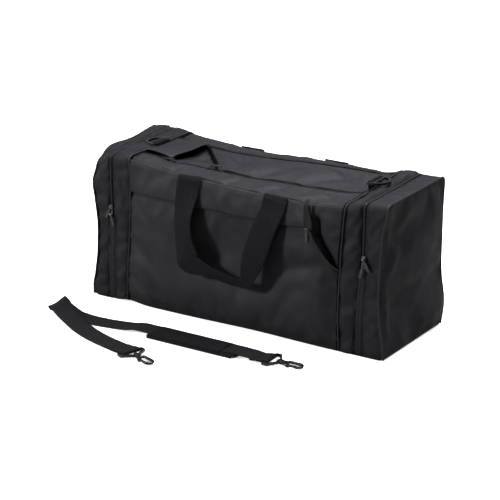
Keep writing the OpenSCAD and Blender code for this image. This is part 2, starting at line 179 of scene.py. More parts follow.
def ease(f):
    """0 to 1, starting and ending gently."""
    f = np.clip(f, 0, 1)
    return f * f * (3 - 2 * f)


def top_height(x, y):
    """Height of the bag's top."""
    front, rear = curve_through(x, FRONT_EDGE), curve_through(x, REAR_EDGE)
    return front + (rear - front) * ease((y + HALF_D) / (2 * HALF_D))


def level(x, z):
    """Nominal height that sag() brings to the real height z on the front."""
    return z * TOP_Z / top_height(x, np.full_like(np.asarray(x, float), -HALF_D))


def along(x, z):
    """Real place along the bag of the nominal place x at the height z."""
    stops = [-END_X, -ZIP_X, -SEAM_X, 0, SEAM_X, ZIP_X, END_X]
    lines = [LEFT_END, LEFT_ZIP, LEFT_SEAM, [(0, 0), (1, 0)], RIGHT_SEAM, RIGHT_ZIP, RIGHT_END]
    shifts = [curve_through(z, line) for line in lines]
    inside = np.clip(x, -END_X, END_X)
    out = np.array(x, float)
    for k, (low, high) in enumerate(zip(stops, stops[1:])):
        f = (inside - low) / (high - low)
        here = (inside >= low) & (inside < high + (1e-9 if k == 5 else 0))
        out = np.where(here, x + shifts[k] + (shifts[k + 1] - shifts[k]) * f, out)
    return out


def near_line(p, start, end, width):
    """Place of points along a line (0 to 1) and their nearness to it."""
    start, line = np.array(start), np.array(end) - start
    f = np.clip(((p - start) @ line) / (line @ line), 0, 1)
    gap = np.linalg.norm(p - start - f[..., None] * line, axis=-1)
    return f, np.exp(-((gap / width) ** 2))


def sag(p):
    """Carries nominal points to where the soft bag has them."""
    x, y, z = p[..., 0], p[..., 1], p[..., 2]
    real_z = z * top_height(x, y) / TOP_Z
    shift = (along(x, real_z) - x) * (1 - 0.8 * ease((y + HALF_D) / (2 * HALF_D)))
    q = np.stack([x + shift, y, real_z], -1)
    for middle, size, push in DENTS:
        near = np.exp(-((((p - middle) / size) ** 2).sum(-1)))
        q = q + near[..., None] * push
    for start, end, width, push in FOLDS:
        f, near = near_line(p, start, end, width)
        near = near * np.sin(np.pi * np.clip(0.12 + 0.76 * f, 0, 1))
        q = q + near[..., None] * push
    return q


def arch(x, s, out=0.0):
    """Nominal point at the distance s up the front, over the top and down the rear."""
    r, low = CORNER_R, HALF_D - CORNER_R
    first, last = (s - S_CORNER) / r, (s - S_BACK) / r
    parts = [s < S_CORNER, s < S_TOP, s < S_BACK, s < S_DOWN, s >= S_DOWN]
    y = np.select(parts, [
        -HALF_D - out + 0 * s, -low - (r + out) * np.cos(first), -low + s - S_TOP,
        low + (r + out) * np.sin(last), HALF_D + out + 0 * s,
    ])
    z = np.select(parts, [
        s, S_CORNER + (r + out) * np.sin(first), TOP_Z + out + 0 * s,
        S_CORNER + (r + out) * np.cos(last), S_CORNER - (s - S_DOWN),
    ])
    return np.stack([x + 0 * s, y, z], -1)


def on_top(x, y, up=0.0):
    """Nominal point of the top, raised by up."""
    return np.stack([x + 0 * y, y + 0 * x, TOP_Z + up + 0 * x * y], -1)


def lid_line(x, back):
    """Y of the line that runs a distance behind the lid's slanting middle."""
    return LID_MID + LID_SLOPE * x + back


def spaced(low, high, step):
    """Evenly spaced numbers about a step apart, both ends kept."""
    return np.linspace(low, high, max(2, int(round(abs(high - low) / step)) + 1))


def net(rows, columns):
    """Both coordinates of a grid, at each of its points."""
    return np.meshgrid(rows, columns, indexing="ij")


def tight(low, high, step):
    """Spaced numbers with extra ones close to both ends, where a panel dips into its seam."""
    return np.unique(np.concatenate([spaced(low, high, step), [low + 0.0025, low + 0.0055],
                                     [high - 0.0025, high - 0.0055]]))


def seam_dip(gap):
    """How far a panel sinks at a distance from its seam."""
    return 0.0032 * np.exp(-((gap / 0.0035) ** 2))


# ---------------------------------------------------------------- meshes
def mesh_object(name, points, faces, uv=None):
    """Smooth-shaded object; uv holds one pair for each point."""
    mesh = bpy.data.meshes.new(name)
    mesh.from_pydata(np.asarray(points, float).tolist(), [], faces)
    mesh.update()
    if uv is not None:
        loop_points = np.zeros(len(mesh.loops), int)
        mesh.loops.foreach_get("vertex_index", loop_points)
        mesh.uv_layers.new(name="cloth").data.foreach_set("uv", np.asarray(uv)[loop_points].ravel())
    mesh.polygons.foreach_set("use_smooth", [True] * len(mesh.polygons))
    made = bpy.data.objects.new(name, mesh)
    scene.collection.objects.link(made)
    return made


def grid_faces(rows, columns, closed=False):
    """Quads of a grid of points; closed joins its last column to its first."""
    faces = []
    for i in range(rows - 1):
        for j in range(columns if closed else columns - 1):
            k = (j + 1) % columns
            faces.append((i * columns + j, (i + 1) * columns + j, (i + 1) * columns + k, i * columns + k))
    return faces


def lengths(points):
    """Distance along a row of points, from its start."""
    steps = np.linalg.norm(np.diff(points, axis=0), axis=1)
    return np.concatenate([[0], np.cumsum(steps)])


def grid(name, points, outward):
    """Sheet through a grid of points, facing outward, with true lengths as its UVs."""
    rows, columns = points.shape[:2]
    down, across = lengths(points[:, columns // 2]), lengths(points[rows // 2])
    uv = np.stack(np.meshgrid(down, across, indexing="ij"), -1).reshape(-1, 2)
    faces = grid_faces(rows, columns)
    a, b = points[rows // 2, columns // 2], points[rows // 2 - 1, columns // 2]
    c = points[rows // 2, columns // 2 - 1]
    if np.dot(np.cross(a - b, a - c), outward) < 0:
        faces = [face[::-1] for face in faces]
    return mesh_object(name, points.reshape(-1, 3), faces, uv)


def thicken(made, thickness):
    """Gives a sheet its thickness, inwards from its outer face."""
    made.modifiers.new("thickness", "SOLIDIFY").thickness = thickness


def smoothen(made):
    """Subdivides a mesh once."""
    rounding = made.modifiers.new("round", "SUBSURF")
    rounding.levels = rounding.render_levels = 1


def tangents(path):
    """Unit directions along a row of points."""
    tangent = np.gradient(path, axis=0)
    return tangent / np.linalg.norm(tangent, axis=1)[:, None]


def square_to(side, tangent):
    """Unit directions nearest to side that stand square to the tangents."""
    side = side - tangent * (side * tangent).sum(1)[:, None]
    return side / np.linalg.norm(side, axis=1)[:, None]


def swept(name, path, side, profile, width=1.0):
    """Profile of (across, up) points swept along a path; side is the direction across it."""
    tangent = tangents(path)
    side = square_to(side, tangent)
    up = np.cross(tangent, side)
    profile = np.asarray(profile, float)
    across = profile[None, :, :1] * np.broadcast_to(width, len(path))[:, None, None]
    points = path[:, None] + side[:, None] * across + up[:, None] * profile[None, :, 1:]
    rows, columns = points.shape[:2]
    faces = grid_faces(rows, columns, closed=True)
    faces.append(tuple(range(columns)))
    faces.append(tuple(range((rows - 1) * columns, rows * columns))[::-1])
    around = lengths(np.vstack([profile, profile[:1]]))[:-1]
    uv = np.stack(np.meshgrid(lengths(path), around, indexing="ij"), -1).reshape(-1, 2)
    made = mesh_object(name, points.reshape(-1, 3), faces, uv)
    made.data.validate()
    return made


def refine(points, step):
    """Smooth curve through points, about a step between its own."""
    points = np.asarray(points, float)
    place = lengths(points)
    fine = spaced(0, place[-1], step)
    return np.stack([
        curve_through(fine, list(zip(place, points[:, k]))) for k in range(points.shape[1])
    ], -1)


def strip_profile(width, thickness, edge=5):
    """Flat section of webbing with round edges."""
    r = thickness / 2
    turn = np.linspace(-math.pi / 2, math.pi / 2, edge)
    right = [(width / 2 - r + r * math.cos(a), r * math.sin(a)) for a in turn]
    middle = [(x, r) for x in np.linspace(width / 2 - r, r - width / 2, 8)[1:-1]]
    left = [(-x, -y) for x, y in right]
    return right + middle + left + [(-x, -y) for x, y in middle]


def tube_profile(radius, sides=8):
    """Round section."""
    return [
        (radius * math.cos(2 * math.pi * k / sides), radius * math.sin(2 * math.pi * k / sides))
        for k in range(sides)
    ]


# ---------------------------------------------------------------- materials
class Look:
    """Material in the making, with its nodes, its links and the inputs of its main shader."""

    def __init__(self, name, colour, roughness, specular=0.3):
        self.material = bpy.data.materials.new(name)
        self.material.use_nodes = True
        self.tree = self.material.node_tree
        self.shader = self.tree.nodes["Principled BSDF"].inputs
        self.give("Base Color", (*colour, 1))
        self.give("Roughness", roughness)
        self.give("Specular IOR Level", specular)

    def join(self, socket, value):
        """Links an input to another node's output, or sets it to a plain value."""
        if isinstance(value, bpy.types.NodeSocket):
            self.tree.links.new(value, socket)
        else:
            socket.default_value = value

    def give(self, name, value):
        self.join(self.shader[name], value)

    def node(self, kind, inputs=(), **settings):
        """Outputs of a new node with its settings and inputs filled in."""
        made = self.tree.nodes.new("ShaderNode" + kind)
        for name, value in settings.items():
            setattr(made, name, value)
        for name, value in inputs:
            self.join(made.inputs[name], value)
        return made.outputs

    def noise(self, place, scale, detail=3.0):
        return self.node("TexNoise", [("Scale", scale), ("Detail", detail), ("Vector", place)])["Fac"]

    def between(self, value, low, high, start=0.3, end=0.7):
        """Value from start to end spread from low to high."""
        return self.node("MapRange", [
            ("From Min", start), ("From Max", end), ("To Min", low), ("To Max", high), ("Value", value),
        ])["Result"]

    def tinted(self, value, dark, light):
        """Colour between dark and light."""
        return self.node(
            "Mix", [("A", (*dark, 1)), ("B", (*light, 1)), ("Factor", value)], data_type="RGBA"
        )["Result"]

    def bump(self, height, distance, below=None):
        """Relief of a height pattern, on top of the relief below."""
        inputs = [("Distance", distance), ("Strength", 1.0), ("Height", height)]
        if below is not None:
            inputs.append(("Normal", below))
        return self.node("Bump", inputs)["Normal"]

    def threads(self, place, axis, count):
        """Threads side by side along one axis, count to a metre."""
        return self.node(
            "TexWave", [("Scale", count * math.pi / 10), ("Vector", place)],
            wave_type="BANDS", bands_direction=axis,
        )["Fac"]


def shade(colour, factor):
    return tuple(min(1.0, c * factor) for c in colour)


def cloth_material(name, colour, roughness=0.5, weave=1500, crumple=0.0012, sheen=0.15, specular=0.3):
    """Plain-woven coated polyester: fine over-and-under threads, soft crumples, uneven sheen."""
    look = Look(name, colour, roughness, specular)
    where = look.node("TexCoord")
    patches = look.between(look.noise(where["Object"], 9), 0, 1)
    look.give("Base Color", look.tinted(patches, shade(colour, 0.8), shade(colour, 1.25)))
    rubbed = look.noise(where["Object"], 30)
    look.give("Roughness", look.between(rubbed, roughness - 0.06, roughness + 0.06))
    soft = look.bump(look.noise(where["Object"], 38, 4), crumple)
    across, along_it = look.threads(where["UV"], "X", weave), look.threads(where["UV"], "Y", weave)
    cross = look.node("Math", [(0, across), (1, along_it)], operation="MULTIPLY")[0]
    look.give("Normal", look.bump(cross, 0.00012, soft))
    look.give("Sheen Weight", sheen)
    look.give("Sheen Roughness", 0.4)
    return look.material


def webbing_material(name, colour, roughness=0.55, ribs=420, specular=0.12, sheen=0.01):
    """Woven webbing with ribs across it and a tighter weave along it."""
    look = Look(name, colour, roughness, specular)
    where = look.node("TexCoord")
    worn = look.between(look.noise(where["Object"], 25), 0, 1)
    look.give("Base Color", look.tinted(worn, shade(colour, 0.8), shade(colour, 1.3)))
    rib = look.bump(look.threads(where["UV"], "X", ribs), 0.0005)
    look.give("Normal", look.bump(look.threads(where["UV"], "Y", 900), 0.0002, rib))
    look.give("Sheen Weight", sheen)
    look.give("Sheen Roughness", 0.4)
    return look.material


def moulded_material(name, colour, roughness, specular=0.5, coat=0.0, metallic=0.0):
    """Moulded plastic or plated metal with a faint flow texture and fingerprints in its gloss."""
    look = Look(name, colour, roughness, specular)
    where = look.node("TexCoord")
    smear = look.noise(where["Object"], 160)
    look.give("Roughness", look.between(smear, roughness * 0.75, roughness * 1.3))
    tone = look.between(look.noise(where["Object"], 90), 0, 1)
    look.give("Base Color", look.tinted(tone, shade(colour, 0.85), shade(colour, 1.2)))
    look.give("Normal", look.bump(look.noise(where["Object"], 600, 2), 0.00006))
    look.give("Metallic", metallic)
    look.give("Coat Weight", coat)
    look.give("Coat Roughness", 0.08)
    return look.material


body_cloth = cloth_material(
    "body_cloth", (0.0056, 0.0053, 0.0080), 0.60, crumple=0.0006, specular=0.20, sheen=0.01
)
# Same cloth as the body, a little darker and less glossy: painted shade for the ends, which get less light.
end_cloth = cloth_material(
    "end_cloth", (0.0052, 0.0049, 0.0074), 0.60, crumple=0.0007, specular=0.15, sheen=0.01
)
lining_cloth = cloth_material("lining_cloth", (0.020, 0.020, 0.023), 0.6, weave=2200)
pad_cloth = cloth_material(
    "pad_cloth", (0.0015, 0.0014, 0.0024), 0.75, weave=1100, sheen=0.004, specular=0.07
)
# Zip tape cloth: the tapes' own black, made darker than the body and given no sheen as painted shade, so the
# tapes, the lid edge and the seam lines read as the shade in gaps and grooves.
tape_and_shade_cloth = webbing_material("zip_tape", (0.0010, 0.0010, 0.0014), 0.8, ribs=1400, specular=0.03, sheen=0.0)
open_tape = webbing_material("open_tape", (0.016, 0.0155, 0.018), 0.6, ribs=1400)
piping_cloth = cloth_material(
    "piping_cloth", (0.0060, 0.0058, 0.0075), 0.60, weave=2200, crumple=0.0003, sheen=0.01
)
webbing = webbing_material("webbing", (0.0030, 0.0028, 0.0043), 0.72, specular=0.10, sheen=0.006)
chain_plastic = moulded_material("zip_chain", (0.0050, 0.0048, 0.0066), 0.6, 0.16)
coil_plastic = moulded_material("zip_coil", (0.0020, 0.0020, 0.0026), 0.7, 0.10)
thread = webbing_material("thread", (0.007, 0.007, 0.009), 0.55, ribs=2500)
board_plastic = moulded_material("board", (0.030, 0.030, 0.031), 0.6, 0.3)
gloss_plastic = moulded_material("gloss_plastic", (0.004, 0.004, 0.005), 0.26, 0.4, coat=0.2)
plated_metal = moulded_material("plated_metal", (0.090, 0.090, 0.094), 0.30, 0.5, metallic=0.8)
puller_plastic = moulded_material("puller_plastic", (0.012, 0.012, 0.013), 0.42, 0.45)

# ---------------------------------------------------------------- pieces
settling = []
dressing = []
CLOTH_SETTINGS = {
    "quality": 5,
    "mass": 0.2,
    "air_damping": 2.0,
    "tension_stiffness": 20,
    "compression_stiffness": 20,
    "shear_stiffness": 10,
    "bending_stiffness": 0.6,
    "vertex_group_mass": "sewn",
    "use_pressure": True,
    "uniform_pressure_force": 0.15,
}


def own_name(thing):
    """Name without the number that Blender adds when the frame has the name already."""
    return thing.name.split(".")[0]


def piece(made, material, body, nodes=None):
    """Hangs a finished object on its body.

    Unless told otherwise, it stands for the node of its own name and has its material's slot.
    """
    made.data.materials.append(material)
    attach(made, body)
    if nodes is None and own_name(made) in node_objects:
        nodes = [own_name(made)]
    if nodes:
        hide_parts(*nodes)


def cloth(name, points, outward, material, body, growth=0.02, cap=0.006, free="", slot=None):
    """Cloth panel through sagged points; growth is its spare cloth, and free names its unsewn sides."""
    made = grid(name, points, outward)
    rows, columns = points.shape[:2]
    sewn = np.zeros((rows, columns), bool)
    sewn[0] = "first" not in free
    sewn[-1] = "last" not in free
    sewn[:, 0] |= "low" not in free
    sewn[:, -1] |= "high" not in free
    if growth:
        settling.append((made, np.flatnonzero(sewn.ravel()).tolist(), growth, cap))
    dressing.append((made, material, body, slot))


def settle_all(last_frame=22):
    """Lets all the panels buckle at once, then keeps their shapes and drops the simulations."""
    for made, pins, growth, _ in settling:
        made.vertex_groups.new(name="sewn").add(pins, 1.0, "REPLACE")
        modifier = made.modifiers.new("settle", "CLOTH")
        settings = modifier.settings
        for setting, value in CLOTH_SETTINGS.items():
            setattr(settings, setting, value)
        settings.shrink_min = -growth
        settings.effector_weights.gravity = 0
        modifier.collision_settings.use_collision = False
        modifier.point_cache.frame_end = last_frame
    for number in range(1, last_frame + 1):
        scene.frame_set(number)
    graph = bpy.context.evaluated_depsgraph_get()
    for made, _, _, cap in settling:
        now = np.zeros(len(made.data.vertices) * 3)
        made.evaluated_get(graph).data.vertices.foreach_get("co", now)
        rest = np.array([v.co for v in made.data.vertices])
        move = now.reshape(-1, 3) - rest
        far = np.linalg.norm(move, axis=1)
        move *= (cap * np.tanh(far / cap) / np.maximum(far, 1e-9))[:, None]
        made.modifiers.clear()
        made.vertex_groups.clear()
        made.data.vertices.foreach_set("co", (rest + move).ravel())
        made.data.update()
    scene.frame_set(1)


def lie_flat(made):
    """Gives a soft end piece a mesh of its own."""
    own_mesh(made)


def dress_all():
    """Rounds the panels, gives them their thickness and hangs them on their bodies."""
    for made, material, body, slot in dressing:
        smoothen(made)
        thicken(made, CLOTH_T)
        piece(made, material, body)
        if "_end_panel" in made.name:
            lie_flat(made)


def places(low, high, s_low, s_high):
    """Grid of stations along the bag and distances round its section."""
    return net(tight(low, high, CLOTH_STEP), spaced(s_low, s_high, CLOTH_STEP))


def pillow(f, height):
    """Outward swell that is 0 at both ends of f."""
    return height * np.sin(np.pi * np.clip(f, 0, 1)) ** 0.7


# Where the inner front falls back beside the open pocket, as (start, end, width, depth) in x and z
POCKET_HOLLOWS = [
    ((0.208, 0.300), (0.213, 0.268), 0.0055, 0.025),
    ((0.214, 0.262), (0.247, 0.210), 0.0048, 0.018),
]


# -- body
def base_panel():
    x, y = net(spaced(0.005 - END_X, END_X - 0.005, 0.012), spaced(-HALF_D, HALF_D, 0.012))
    points = sag(np.stack([x, y, 0 * x], -1))
    points[..., 2] = np.maximum(points[..., 2], 0) + 0.0002
    cloth("base_panel", points, (0, 0, -1), body_cloth, "bag", growth=0)


def front_panel():
    """Inner front: it shows beside the open pocket, where it falls inwards."""
    x, s = places(-SEAM_X, SEAM_X, 0.0, S_FOLD)
    points = sag(arch(x, s, -seam_dip(SEAM_X - np.abs(x))))
    here = np.stack([x, s], -1)
    for start, end, width, depth in POCKET_HOLLOWS:
        points[..., 1] += depth * near_line(here, start, end, width)[1]
    points[..., 1] += 0.001 * ease((S_FOLD - s) / 0.02)
    cloth("front_panel", points, OUT_FRONT, body_cloth, "bag", cap=0.003)


def rear_panel():
    x, s = places(-SEAM_X, SEAM_X, S_REAR_FOLD, S_END)
    points = sag(arch(x, s, -seam_dip(SEAM_X - np.abs(x))))
    cloth("rear_panel", points, OUT_REAR, body_cloth, "bag", growth=0.025, cap=0.009)


def top_strips():
    """Fixed cloth of the top, in front of the lid and behind it."""
    x, f = net(tight(-SEAM_X, SEAM_X, CLOTH_STEP), np.linspace(0, 1, 10))
    dip = seam_dip(SEAM_X - np.abs(x))
    edge = S_TOP + lid_line(x, -LID_HALF - 0.0125) + HALF_D - CORNER_R
    points = sag(arch(x, S_FOLD + (edge - S_FOLD) * f, 0.0008 * f - dip))
    cloth("top_front_strip", points, OUT_UP, body_cloth, "bag", growth=0.03)
    edge = S_TOP + lid_line(x, LID_HALF + 0.0035) + HALF_D - CORNER_R
    points = sag(arch(x, edge + (S_REAR_FOLD - edge) * f, 0.0008 * (1 - f) - dip))
    cloth("top_rear_strip", points, OUT_UP, body_cloth, "bag", growth=0.03)


def dividers():
    for side, name in SIDES:
        y, z = net(spaced(0.003 - HALF_D, HALF_D - 0.003, 0.014), spaced(0.004, TOP_Z - 0.010, 0.014))
        points = sag(np.stack([side * (SEAM_X - 0.001) + 0 * y, y, z], -1))
        cloth(f"{name}_divider", points, (-side, 0, 0), lining_cloth, "bag", growth=0.015, slot="lining")


# -- lid and the open mouth beside it
def lid_left(g):
    """Place of the lid's free left edge, from its front (0) to its rear (1)."""
    return -0.093 - 0.097 * g ** 1.25


def left_flap():
    """Fixed panel at the lid's left: its front and right edges stand open."""
    f, g = net(np.linspace(0, 1, 13), np.linspace(0, 1, 20))
    front = lid_line(-0.235, -LID_HALF) + 0.002
    rear = lid_line(-0.235, LID_HALF)
    y = front + (rear - front) * g
    right = -0.203 + 0.022 * ease(g / 0.85)
    x = -SEAM_X + (right + SEAM_X) * f
    up = 0.0070 * ease(f) * np.exp(-(((g - 0.80) / 0.28) ** 2))
    up += 0.0060 * np.sin(np.pi * np.clip(f, 0, 1)) ** 0.6 * np.exp(-((g / 0.22) ** 2))
    up += 0.002 * f - 0.004 * np.sin(np.pi * f) * np.sin(np.pi * g)
    points = sag(on_top(x, y)) + np.stack([0 * x, 0 * x, up + 0.0015], -1)
    cloth("left_top_panel", points, OUT_UP, body_cloth, "bag", growth=0.012, cap=0.003, free="last low")


def mouth_facing():
    """Cloth under the mouth that keeps the contents in."""
    f, g = net(np.linspace(0, 1, 12), np.linspace(0, 1, 14))
    left = -0.206 + 0.014 * g
    right = -0.072 - 0.106 * g
    x = left + (right - left) * f
    y = lid_line(x, -LID_HALF - 0.004 + (2 * LID_HALF - 0.004) * g)
    down = 0.007 * np.sin(np.pi * np.clip(g * 0.9 + 0.02, 0, 1)) + 0.004
    points = sag(on_top(x, y)) - np.stack([0 * x, 0 * x, down], -1)
    cloth("mouth_facing", points, OUT_UP, body_cloth, "bag", slot="lining")


def lid_panel():
    f, g = net(spaced(0, 1, CLOTH_STEP / 0.42), np.linspace(0, 1, 16))
    left = lid_left(g)
    x = left + (LID_RIGHT - left) * f
    y = lid_line(x, -LID_HALF + (2 * LID_HALF - 0.0015) * g)
    edge = np.exp(-((x - left) / 0.012)) * ease((1 - g) / 0.3)
    up = -0.007 * edge + 0.003 * np.exp(-(((x - left - 0.03) / 0.02) ** 2)) * (1 - g)
    points = sag(on_top(x, y)) + np.stack([0 * x, 0 * x, up], -1)
    cloth("lid_panel", points, OUT_UP, body_cloth, "lid", growth=0.03, cap=0.008)


def lid_edge_tape():
    """Zip half round the lid's free left edge, in the dark tape cloth whose darkness also stands as painted
    shade under that edge.
    """
    g = np.linspace(0, 0.94, 14)
    x = lid_left(g) + 0.002
    path = sag(on_top(x, lid_line(x, -LID_HALF + 2 * LID_HALF * g)))
    path[:, 2] += 0.0018 - 0.0050 * ease((1 - g) / 0.3)
    path = refine(path, 0.004)
    made = swept("lid_edge_tape", path, (1.0, 0.3, 0), strip_profile(0.007, 0.003))
    piece(made, tape_and_shade_cloth, "lid")


# -- end pockets
def zip_gap(s):
    """Half the opening along an end zip: wider under its sliders, where the zip is closed."""
    up = np.minimum(s, S_END - s)
    return 0.0045 + 0.0035 * ease((0.205 - up) / 0.02)


def zip_dip(gap):
    """How far the cloth sinks towards a zip that lies a distance gap away."""
    return 0.0026 * np.exp(-gap / 0.006)


def gussets():
    """Cloth on both sides of each end zip."""
    across = np.array([0, 0.07, 0.15, 0.3, 0.5, 0.7, 0.85, 0.93, 1])
    for side, name in SIDES:
        f, s = net(across, spaced(0, S_END, CLOTH_STEP))
        width = ZIP_X - zip_gap(s) - SEAM_X
        out = pillow(f, 0.0030) - seam_dip(width * f) - zip_dip(width * (1 - f))
        points = sag(arch(side * (SEAM_X + width * f), s, out))
        points[..., 2] = np.maximum(points[..., 2], 0.001)
        cloth(f"{name}_inner_gusset", points, OUT_UP, end_cloth, "bag", growth=0.03, cap=0.004)
        width = END_X - ZIP_X - zip_gap(s)
        out = pillow(f, 0.0025) - 0.0006 - zip_dip(width * f)
        points = sag(arch(side * (END_X - width * (1 - f)), s, out))
        points[..., 2] = np.maximum(points[..., 2], 0.003)
        cloth(f"{name}_outer_gusset", points, OUT_UP, end_cloth, f"{name}_cover", growth=0.03, cap=0.004)


def end_panels():
    """End faces with round top corners; their rows close up round the corner."""
    upright = spaced(0.003, S_CORNER, 0.010)
    turn = np.linspace(0, math.pi / 2, 5)[1:]
    z = np.concatenate([upright, S_CORNER + CORNER_R * np.sin(turn)])
    half = np.concatenate([0 * upright + HALF_D, HALF_D - CORNER_R + CORNER_R * np.cos(turn)])
    f = np.linspace(-1, 1, 27)
    y = half[:, None] * f[None]
    height = z[:, None] + 0 * y
    swell = (1 - f[None] ** 4) * np.sin(np.pi * np.clip(height / TOP_Z, 0, 1)) ** 0.6
    for side, name in SIDES:
        points = sag(np.stack([side * END_X + 0 * y, y, height], -1))
        points[..., 0] += side * 0.004 * swell
        cloth(f"{name}_end_panel", points, (side, 0, 0), end_cloth, f"{name}_cover", growth=0.025, cap=0.005)


# -- front pocket
def pocket_line(x):
    """Real height of the pocket's zip."""
    return curve_through(x, [(-0.275, 0.2665), (-0.152, 0.2650), (-0.056, 0.2630), (0.05, 0.2615),
                             (POCKET_X, POCKET_Z), (0.275, POCKET_Z)])


def band_edge(z):
    """Right edge of the front's upper band at the real height z."""
    return 0.185 + 0.006 * ease((0.316 - z) / 0.054)


def pocket_out(x):
    """How far the pocket stands off the front: it dies away at the seams."""
    return POCKET_OUT * ease((SEAM_X - np.abs(x)) / 0.050)


def front_band():
    """Upper part of the front, lying over the pocket's mouth."""
    f, g = net(spaced(0, 1, CLOTH_STEP / 0.46), np.linspace(0, 1, 9))
    x = -SEAM_X + (POCKET_X + SEAM_X) * f
    low = level(x, pocket_line(x) - 0.0022)
    s = low + (S_FOLD - 0.002 - low) * g
    real = s * top_height(x, 0 * x - HALF_D) / TOP_Z
    x = -SEAM_X + (band_edge(real) + SEAM_X) * f
    out = pocket_out(x) * ease((1 - g) / 0.9) + 0.0024
    out += 0.004 * np.exp(-(1 - f) / 0.03) * ease(g / 0.3)
    points = sag(arch(x, s, out))
    cloth("front_band", points, OUT_FRONT, body_cloth, "bag", growth=0.010, cap=0.002, free="last")


def drop_line(x):
    """Real height of the pocket panel's upper edge: it droops where the zip is open."""
    closed = pocket_line(x) - 0.0012
    fallen = curve_through(x, [(0.196, 0.2610), (0.204, 0.2560), (0.212, 0.2410), (0.230, 0.2190),
                               (0.249, 0.1965), (0.262, 0.1850), (0.275, 0.1750)])
    return np.where(x < POCKET_X + 0.003, closed, fallen)


def pocket_panel():
    x, g = net(tight(-SEAM_X, SEAM_X, CLOTH_STEP * 0.8), np.linspace(0, 1, 29))
    s = 0.002 + (level(x, drop_line(x)) - 0.002) * g
    out = pocket_out(x) * ease(g / 0.10) + 0.0015
    out -= 0.0036 * np.exp(-(1 - g) / 0.03) * ease((0.19 - x) / 0.01)
    out += 0.006 * np.exp(-(1 - g) / 0.10) * ease((x - 0.19) / 0.02) * ease((0.272 - x) / 0.015)
    points = sag(arch(x, s, out))
    cloth("front_pocket_panel", points, OUT_FRONT, body_cloth, "bag", growth=0.012, cap=0.005)


# -- zips, piping and stitches
COIL_PITCH = 0.0022
COIL_RISE = 0.0013
THREAD_R = 0.00045


def coil(name, centre, side, body, nodes=(), half=0.0020, material=coil_plastic):
    """Two interlocked rows of nylon coil along a path, as one ridged strip."""
    path = refine(centre, COIL_PITCH / 3)
    stations = lengths(centre)
    half = np.interp(lengths(path), stations, half + 0 * stations)
    tangent = tangents(path)
    across = square_to(side, tangent)
    up = np.cross(tangent, across)
    up *= np.sign((up * skin_outward(path)).sum(1))[:, None]
    f = np.linspace(-1, 1, 9)
    phase = 2 * math.pi * lengths(path)[:, None] / COIL_PITCH
    ridge = COIL_RISE * np.sqrt(np.clip(1 - f ** 2, 0, 1))[None]
    tooth = 1 + 0.22 * np.sin(phase + np.where(f < 0, 0, math.pi)[None])
    groove = 1 - 0.45 * np.exp(-((f / 0.16) ** 2))[None]
    height = ridge * tooth * groove
    points = path[:, None] + across[:, None] * (half[:, None] * f)[..., None]
    points = points + up[:, None] * height[..., None]
    made = grid(name, points, skin_at(path[len(path) // 2]))
    piece(made, material, body, nodes)


def skin_outward(path):
    """Direction away from the bag at points of its front, top or rear."""
    over_y = np.clip((np.abs(path[:, 1]) - HALF_D + CORNER_R) / CORNER_R, 0, 1)
    over_z = np.clip((path[:, 2] - S_CORNER) / CORNER_R, 0.02, 1)
    return np.stack([0 * over_y, over_y * np.sign(path[:, 1]), over_z], -1)


def skin_at(point):
    return skin_outward(point[None])[0]


def stitches(name, path, outward, body, pitch=0.0042):
    """Row of thread stitches on the cloth; outward is one direction or gives it for each point."""
    path = refine(path, 0.004)
    along_path = lengths(path)
    count = max(2, int(along_path[-1] / pitch))
    ring = 5
    points, faces = [], []
    for k in range(count):
        start, end = (k + 0.15) * pitch, (k + 0.82) * pitch
        line = [
            np.array([np.interp(start + (end - start) * f, along_path, path[:, a]) for a in range(3)])
            for f in (0.0, 0.25, 0.75, 1.0)
        ]
        ahead = line[-1] - line[0]
        ahead /= np.linalg.norm(ahead) + 1e-12
        up = np.array(outward(line[1]) if callable(outward) else outward, float)
        up = up - ahead * (up @ ahead)
        up /= np.linalg.norm(up)
        sideways = np.cross(ahead, up)
        first = len(points)
        for q, lift in zip(line, (-0.0003, 0.0003, 0.0003, -0.0003)):
            for a in range(ring):
                turn = 2 * math.pi * a / ring
                height = lift + THREAD_R * math.sin(turn)
                points.append(q + up * height + sideways * THREAD_R * math.cos(turn))
        faces += [tuple(first + i for i in face) for face in grid_faces(4, ring, closed=True)]
    made = mesh_object(name, points, faces, [(p[0], p[2]) for p in points])
    piece(made, thread, body)


def round_bag(x, s, out, lowest):
    """Line round the bag's section, kept off the floor."""
    path = sag(arch(x + 0 * s, s + 0 * x, out))
    path[..., 2] = np.maximum(path[..., 2], lowest)
    return path


def end_zips():
    """Closed zip between the gussets: dark tapes with the chain standing between them."""
    s = spaced(0.004, S_END - 0.004, 0.006)
    gap = zip_gap(s)
    for side, name in SIDES:
        for part, way, body in (("inner", -1, "bag"), ("outer", 1, f"{name}_cover")):
            x = side * (ZIP_X + way * (gap + 0.002) * np.linspace(0, 1, 3)[:, None])
            made = grid(f"{name}_end_zip_{part}_tape", round_bag(x, s[None], -0.0042, 0.003), OUT_UP)
            thicken(made, TAPE_T)
            piece(made, tape_and_shade_cloth, body)
            row = round_bag(side * (ZIP_X + way * (gap + 0.0045)), s, 0.0012, 0.003)
            stitches(f"{name}_end_zip_{part}_stitches", row, skin_at, body)
        coil(f"{name}_end_zip_coil", round_bag(side * ZIP_X, s, -0.0026, 0.003), ALONG_X, "bag",
             [f"{name}_end_zip"], 1.55 * gap - 0.0038, chain_plastic)


